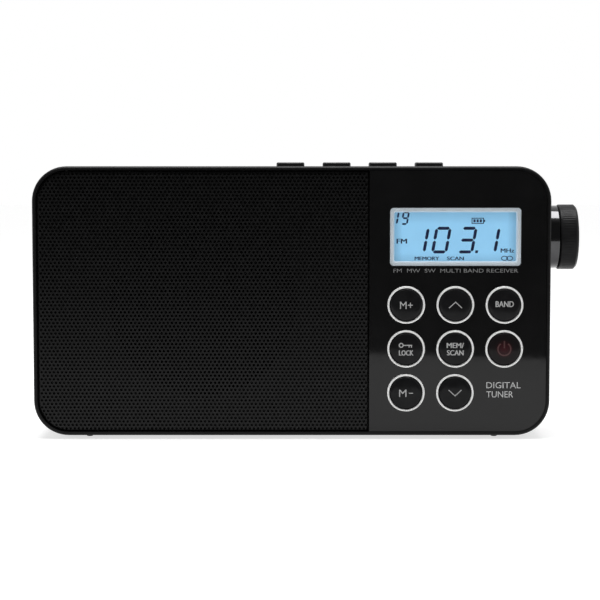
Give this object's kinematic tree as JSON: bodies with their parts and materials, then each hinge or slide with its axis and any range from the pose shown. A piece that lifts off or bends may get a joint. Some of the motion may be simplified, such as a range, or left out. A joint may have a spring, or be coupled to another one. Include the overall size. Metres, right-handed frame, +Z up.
{
  "type": "tabletop radio",
  "caption": "Compact black tabletop radio with a perforated speaker grille, lit display, round push buttons, side volume knob and telescopic antenna.",
  "frame": {"origin": "under the middle of the whole radio, knob included, on the surface it stands on", "axes": "+X to the listener's right, +Y to the back, +Z up"},
  "size_m": [0.2014, 0.047, 0.1018],
  "materials": {
    "case_plastic": "fine satin texture",
    "grille_metal": "perforated, satin black paint",
    "fascia_gloss": "polished",
    "display_clear": "clear, polished",
    "display_border": "satin",
    "lcd_blue": "lit liquid crystal with dark segments",
    "light_guide": "milky",
    "ring_silver": "satin plated",
    "foot_rubber": "matt",
    "board_green": "solder mask",
    "switch_black": "moulded",
    "shield_tin": "tinned",
    "capacitor_sleeve": "shrink sleeve",
    "speaker_steel": "pressed steel",
    "cone_paper": "black paper",
    "magnet_ferrite": "ground ferrite",
    "gasket_foam": "foam",
    "screw_steel": "zinc plated",
    "coil_copper": "enamelled wire",
    "clip_plastic": "natural nylon",
    "control_metal": "machined",
    "cell_wrap": "plain printed wrap",
    "contact_steel": "nickel plated",
    "ribbon_grey": "flat cable",
    "wire_red": "insulated",
    "socket_brass": "turned",
    "knob_chrome": "polished plating",
    "knob_gloss": "finely ribbed",
    "button_gloss": "polished dome",
    "power_gloss": "polished dome",
    "key_plastic": "satin",
    "antenna_chrome": "polished plating"
  },
  "bodies": {
    "case": {"front_shell": "case_plastic", "rear_shell": "case_plastic", "speaker_grille": "grille_metal", "control_fascia": "fascia_gloss", "display_window": "display_clear", "display_frame": "display_border", "lcd_panel": "lcd_blue", "backlight_plate": "light_guide", "button_rings": "ring_silver", "foot_strips": "foot_rubber", "keypad_board": "board_green", "tact_switches": "switch_black", "top_key_board": "board_green", "main_board": "board_green", "tuner_shield": "shield_tin", "board_chips": "switch_black", "board_capacitors": "capacitor_sleeve", "speaker_basket": "speaker_steel", "speaker_cone": "cone_paper", "speaker_magnet": "magnet_ferrite", "speaker_gasket": "gasket_foam", "speaker_screws": "screw_steel", "ferrite_rod": "magnet_ferrite", "ferrite_coils": "coil_copper", "ferrite_clips": "clip_plastic", "volume_pot": "control_metal", "pot_nut": "screw_steel", "jack_board": "board_green", "earphone_jack": "switch_black", "dc_jack": "switch_black", "battery_cells": "cell_wrap", "battery_springs": "contact_steel", "battery_contacts": "contact_steel", "case_screws": "screw_steel", "board_screws": "screw_steel", "ribbon_cable": "ribbon_grey", "hookup_wires": "wire_red", "antenna_socket": "socket_brass"},
    "volume_knob": {"volume_shaft": "control_metal", "knob_collar": "knob_chrome", "knob_cap": "knob_gloss"},
    "button_memory_up": {"button_memory_up": "button_gloss"},
    "button_tune_up": {"button_tune_up": "button_gloss"},
    "button_band": {"button_band": "button_gloss"},
    "button_lock": {"button_lock": "button_gloss"},
    "button_scan": {"button_scan": "button_gloss"},
    "button_power": {"button_power": "power_gloss"},
    "button_memory_down": {"button_memory_down": "button_gloss"},
    "button_tune_down": {"button_tune_down": "button_gloss"},
    "top_key_1": {"top_key_1": "key_plastic"},
    "top_key_2": {"top_key_2": "key_plastic"},
    "top_key_3": {"top_key_3": "key_plastic"},
    "top_key_4": {"top_key_4": "key_plastic"},
    "battery_door": {"battery_door": "case_plastic"},
    "antenna_base": {"antenna_base": "antenna_chrome"},
    "antenna_tube_1": {"antenna_tube_1": "antenna_chrome"},
    "antenna_tube_2": {"antenna_tube_2": "antenna_chrome"},
    "antenna_tube_3": {"antenna_tube_3": "antenna_chrome"},
    "antenna_tube_4": {"antenna_tube_4": "antenna_chrome"},
    "antenna_tip": {"antenna_tip": "antenna_chrome"}
  },
  "joints": [
    {"name": "volume_turn", "type": "hinge", "parent": "case", "child": "volume_knob", "pos_m": [0.08925, -0.0025, 0.0738], "axis": [1, 0, 0], "range_deg": [-150, 150]},
    {"name": "memory_up_press", "type": "slide", "parent": "case", "child": "button_memory_up", "axis": [0, 1, 0], "range_m": [0, 0.0008], "stiffness_N_per_m": 300},
    {"name": "tune_up_press", "type": "slide", "parent": "case", "child": "button_tune_up", "axis": [0, 1, 0], "range_m": [0, 0.0008], "stiffness_N_per_m": 300},
    {"name": "band_press", "type": "slide", "parent": "case", "child": "button_band", "axis": [0, 1, 0], "range_m": [0, 0.0008], "stiffness_N_per_m": 300},
    {"name": "lock_press", "type": "slide", "parent": "case", "child": "button_lock", "axis": [0, 1, 0], "range_m": [0, 0.0008], "stiffness_N_per_m": 300},
    {"name": "scan_press", "type": "slide", "parent": "case", "child": "button_scan", "axis": [0, 1, 0], "range_m": [0, 0.0008], "stiffness_N_per_m": 300},
    {"name": "power_press", "type": "slide", "parent": "case", "child": "button_power", "axis": [0, 1, 0], "range_m": [0, 0.0008], "stiffness_N_per_m": 300},
    {"name": "memory_down_press", "type": "slide", "parent": "case", "child": "button_memory_down", "axis": [0, 1, 0], "range_m": [0, 0.0008], "stiffness_N_per_m": 300},
    {"name": "tune_down_press", "type": "slide", "parent": "case", "child": "button_tune_down", "axis": [0, 1, 0], "range_m": [0, 0.0008], "stiffness_N_per_m": 300},
    {"name": "top_key_1_press", "type": "slide", "parent": "case", "child": "top_key_1", "axis": [0, 0, -1], "range_m": [0, 0.0008], "stiffness_N_per_m": 300},
    {"name": "top_key_2_press", "type": "slide", "parent": "case", "child": "top_key_2", "axis": [0, 0, -1], "range_m": [0, 0.0008], "stiffness_N_per_m": 300},
    {"name": "top_key_3_press", "type": "slide", "parent": "case", "child": "top_key_3", "axis": [0, 0, -1], "range_m": [0, 0.0008], "stiffness_N_per_m": 300},
    {"name": "top_key_4_press", "type": "slide", "parent": "case", "child": "top_key_4", "axis": [0, 0, -1], "range_m": [0, 0.0008], "stiffness_N_per_m": 300},
    {"name": "door_swing", "type": "hinge", "parent": "case", "child": "battery_door", "pos_m": [0.0485, 0.0219, 0.01395], "axis": [-1, 0, 0], "range_deg": [0, 90]},
    {"name": "antenna_swivel", "type": "hinge", "parent": "case", "child": "antenna_base", "pos_m": [-0.08375, 0.017, 0.0913], "axis": [0, 0, 1], "range_deg": [0, 180]},
    {"name": "antenna_fold", "type": "hinge", "parent": "antenna_base", "child": "antenna_tube_1", "pos_m": [-0.08375, 0.017, 0.0953], "axis": [0, -1, 0], "range_deg": [0, 90]},
    {"name": "antenna_slide_1", "type": "slide", "parent": "antenna_tube_1", "child": "antenna_tube_2", "axis": [1, 0, 0], "range_m": [0, 0.12]},
    {"name": "antenna_slide_2", "type": "slide", "parent": "antenna_tube_2", "child": "antenna_tube_3", "axis": [1, 0, 0], "range_m": [0, 0.12]},
    {"name": "antenna_slide_3", "type": "slide", "parent": "antenna_tube_3", "child": "antenna_tube_4", "axis": [1, 0, 0], "range_m": [0, 0.12]},
    {"name": "antenna_slide_4", "type": "slide", "parent": "antenna_tube_4", "child": "antenna_tip", "axis": [1, 0, 0], "range_m": [0, 0.12]}
  ]
}
